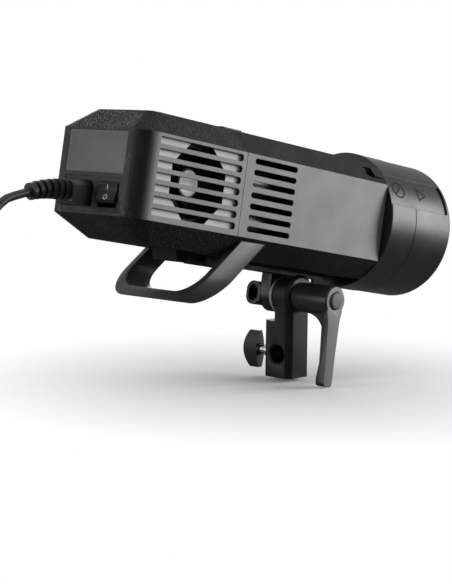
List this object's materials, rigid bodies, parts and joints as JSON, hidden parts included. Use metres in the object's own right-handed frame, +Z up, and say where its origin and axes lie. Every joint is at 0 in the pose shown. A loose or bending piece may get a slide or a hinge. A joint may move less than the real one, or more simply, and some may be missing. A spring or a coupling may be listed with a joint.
{
  "type": "monolight strobe",
  "caption": "Studio monolight strobe with a clip-on mains unit, carrying handle, protective front cap and a tilting stand bracket with a clamping lever and mains lead.",
  "frame": {"origin": "centre of the stand socket's mouth, under the receiver block", "axes": "+Z up along the stand socket, -Y where the lamp's head points, -X the side with the plain vents; the lamp rests tilted ten degrees nose-down"},
  "size_m": [0.1255, 0.6055, 0.2422],
  "materials": {
    "body_black": "fine moulded texture",
    "collar_black": "satin moulded",
    "strap_black": "satin moulded",
    "bracket_black": "satin powder coat",
    "steel": "bright",
    "dark_screw": "black oxide",
    "grey_washer": "satin",
    "brass": "bright",
    "rubber_black": "matte",
    "cord_black": "satin sheath",
    "baffle_grey": "matte",
    "fan_black": "satin",
    "board_green": "solder mask",
    "parts_mixed": "mixed electronics",
    "can_black": "shrink sleeve",
    "copper": "wound wire",
    "aluminium": "polished",
    "ceramic": "glazed",
    "tube_glass": "clear quartz",
    "led_cream": "lens",
    "panel_black": "satin",
    "window_clear": "clear",
    "display_grey": "display",
    "key_grey": "satin",
    "switch_black": "moulded",
    "contact_gold": "plated",
    "socket_black": "moulded",
    "lever_grey": "satin"
  },
  "bodies": {
    "receiver": {"stand_receiver": "bracket_black", "brass_washer": "brass"},
    "clamp_knob": {"knob_bar": "rubber_black", "knob_screw": "steel"},
    "lamp": {"tilt_bracket": "bracket_black", "pivot_stud": "steel", "friction_washer": "grey_washer", "bracket_screws": "dark_screw", "carry_handle": "strap_black", "handle_screws": "dark_screw", "housing_right": "body_black", "housing_left": "body_black", "housing_screws": "dark_screw", "front_collar": "collar_black", "bayonet_ring": "aluminium", "front_reflector": "aluminium", "tube_base": "ceramic", "flash_tube": "tube_glass", "modelling_led": "led_cream", "equipment_tray": "aluminium", "capacitor_bank": "can_black", "main_board": "board_green", "discharge_coil": "copper", "control_panel": "panel_black", "display_window": "window_clear", "display_module": "display_grey", "port_sockets": "socket_black", "body_contacts": "contact_gold", "body_skid": "rubber_black"},
    "lever": {"clamp_lever": "lever_grey"},
    "lever_push": {"lever_button": "key_grey"},
    "mains_unit": {"mains_shell": "body_black", "mains_front_plate": "collar_black", "vent_baffle": "baffle_grey", "fan_frame": "fan_black", "mains_board": "board_green", "mains_parts": "parts_mixed", "inlet_socket": "socket_black", "inlet_pins": "contact_gold", "switch_frame": "switch_black", "pack_contacts": "contact_gold", "rear_skid": "rubber_black", "cord_connector": "cord_black", "connector_relief": "cord_black", "cord_run": "cord_black", "cord_coil": "cord_black", "coil_tie": "rubber_black", "mains_plug": "cord_black", "plug_pins": "contact_gold"},
    "fan": {"fan_rotor": "fan_black"},
    "power_rocker": {"rocker": "switch_black"},
    "cap": {"front_cap": "collar_black"},
    "latch": {"mount_latch": "key_grey"},
    "release": {"release_button": "panel_black"},
    "dial": {"select_dial": "key_grey"},
    "dial_set": {"set_button": "key_grey"},
    "key_1": {"panel_button_1": "key_grey"},
    "key_2": {"panel_button_2": "key_grey"},
    "key_3": {"panel_button_3": "key_grey"},
    "key_4": {"panel_button_4": "key_grey"}
  },
  "joints": [
    {"name": "tilt", "type": "hinge", "parent": "receiver", "child": "lamp", "pos_m": [0, 0, 0.072], "axis": [1, 0, 0], "range_deg": [-88, 68]},
    {"name": "knob_turn", "type": "hinge", "parent": "receiver", "child": "clamp_knob", "pos_m": [0, 0, 0.02], "axis": [1, 0, 0], "continuous": true},
    {"name": "lever_turn", "type": "hinge", "parent": "lamp", "child": "lever", "pos_m": [0, 0, 0.072], "axis": [1, 0, 0], "range_deg": [-70, 70]},
    {"name": "lever_push", "type": "slide", "parent": "lever", "child": "lever_push", "axis": [1, 0, 0], "range_m": [0, 0.0025], "stiffness_N_per_m": 800},
    {"name": "mains_slide", "type": "slide", "parent": "lamp", "child": "mains_unit", "axis": [0, 0.9848, 0.1736], "range_m": [0, 0.06]},
    {"name": "fan_spin", "type": "hinge", "parent": "mains_unit", "child": "fan", "pos_m": [-0.028, 0.16833, 0.17987], "axis": [1, 0, 0], "continuous": true},
    {"name": "rocker_tip", "type": "hinge", "parent": "mains_unit", "child": "power_rocker", "pos_m": [-0.02, 0.22932, 0.17082], "axis": [1, 0, 0], "range_deg": [-18, 0]},
    {"name": "cap_pull", "type": "slide", "parent": "lamp", "child": "cap", "axis": [0, -0.9848, -0.1736], "range_m": [0, 0.09]},
    {"name": "latch_slide", "type": "slide", "parent": "lamp", "child": "latch", "axis": [0, 0.9848, 0.1736], "range_m": [0, 0.006]},
    {"name": "release_push", "type": "slide", "parent": "lamp", "child": "release", "axis": [0, 0.1736, -0.9848], "range_m": [0, 0.0025], "stiffness_N_per_m": 900},
    {"name": "dial_turn", "type": "hinge", "parent": "lamp", "child": "dial", "pos_m": [0.055, 0.01056, 0.15611], "axis": [1, 0, 0], "continuous": true},
    {"name": "set_push", "type": "slide", "parent": "dial", "child": "dial_set", "axis": [-1, 0, 0], "range_m": [0, 0.0008], "stiffness_N_per_m": 900},
    {"name": "key_1_push", "type": "slide", "parent": "lamp", "child": "key_1", "axis": [-1, 0, 0], "range_m": [0, 0.001], "stiffness_N_per_m": 900},
    {"name": "key_2_push", "type": "slide", "parent": "lamp", "child": "key_2", "axis": [-1, 0, 0], "range_m": [0, 0.001], "stiffness_N_per_m": 900},
    {"name": "key_3_push", "type": "slide", "parent": "lamp", "child": "key_3", "axis": [-1, 0, 0], "range_m": [0, 0.001], "stiffness_N_per_m": 900},
    {"name": "key_4_push", "type": "slide", "parent": "lamp", "child": "key_4", "axis": [-1, 0, 0], "range_m": [0, 0.001], "stiffness_N_per_m": 900}
  ]
}
